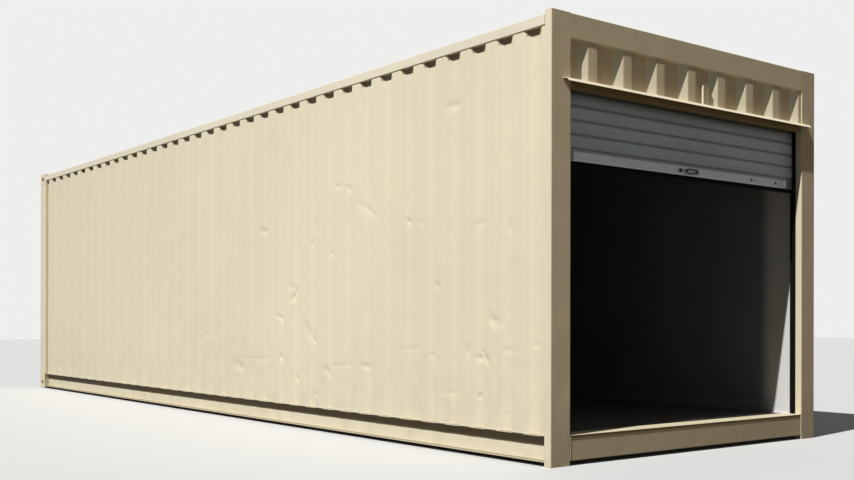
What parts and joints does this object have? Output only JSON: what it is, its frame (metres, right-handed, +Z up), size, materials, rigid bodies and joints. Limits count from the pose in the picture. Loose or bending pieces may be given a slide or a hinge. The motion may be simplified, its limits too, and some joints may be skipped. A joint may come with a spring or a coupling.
{
  "type": "shipping container with a roller shutter",
  "caption": "Corrugated steel box container on ground-level rails, with a roller shutter, partly rolled up, in one end, a blank rear end and a boarded inside.",
  "frame": {"origin": "on the ground, in the middle of the box round the whole container", "axes": "+Z up, +Y from the shutter end to the rear end, +X to the right seen from the shutter end"},
  "size_m": [2.438, 9.802, 2.591],
  "materials": {
    "body_paint": "old cream enamel, semi-matt, chalked and dented",
    "curtain_paint": "grey coated sheet, satin",
    "galvanised": "dull zinc coating",
    "dark_metal": "black, worn",
    "guide_metal": "dark brown-grey coated sheet",
    "floor_board": "dark oiled plywood, scuffed",
    "lining_board": "light grey painted board, matt",
    "kick_metal": "mill finish, scuffed",
    "seal_rubber": "black, matt"
  },
  "bodies": {
    "root": {"door_bottom_bar": "galvanised", "door_curtain": "curtain_paint", "door_handle": "dark_metal", "door_lintel": "body_paint", "door_lock": "dark_metal", "door_roll": "curtain_paint", "door_seal": "seal_rubber", "door_shaft": "galvanised", "floor": "floor_board", "floor_beams": "body_paint", "front_header": "body_paint", "front_left_post": "body_paint", "front_right_post": "body_paint", "front_sill": "body_paint", "header_bracket": "body_paint", "header_panel": "body_paint", "left_bottom_rail": "body_paint", "left_door_guide": "guide_metal", "left_door_stop": "galvanised", "left_kick_strip": "kick_metal", "left_lining": "lining_board", "left_shaft_plate": "galvanised", "left_top_rail": "body_paint", "left_wall": "body_paint", "rain_ledge": "body_paint", "rear_bottom_left_casting": "body_paint", "rear_bottom_right_casting": "body_paint", "rear_header": "body_paint", "rear_left_post": "body_paint", "rear_lining": "lining_board", "rear_right_post": "body_paint", "rear_sill": "body_paint", "rear_top_left_casting": "body_paint", "rear_top_right_casting": "body_paint", "rear_wall": "body_paint", "right_bottom_rail": "body_paint", "right_door_guide": "guide_metal", "right_door_stop": "galvanised", "right_kick_strip": "kick_metal", "right_lining": "lining_board", "right_shaft_plate": "galvanised", "right_top_rail": "body_paint", "right_wall": "body_paint", "roof": "body_paint", "threshold_plate": "body_paint"}
  },
  "joints": []
}
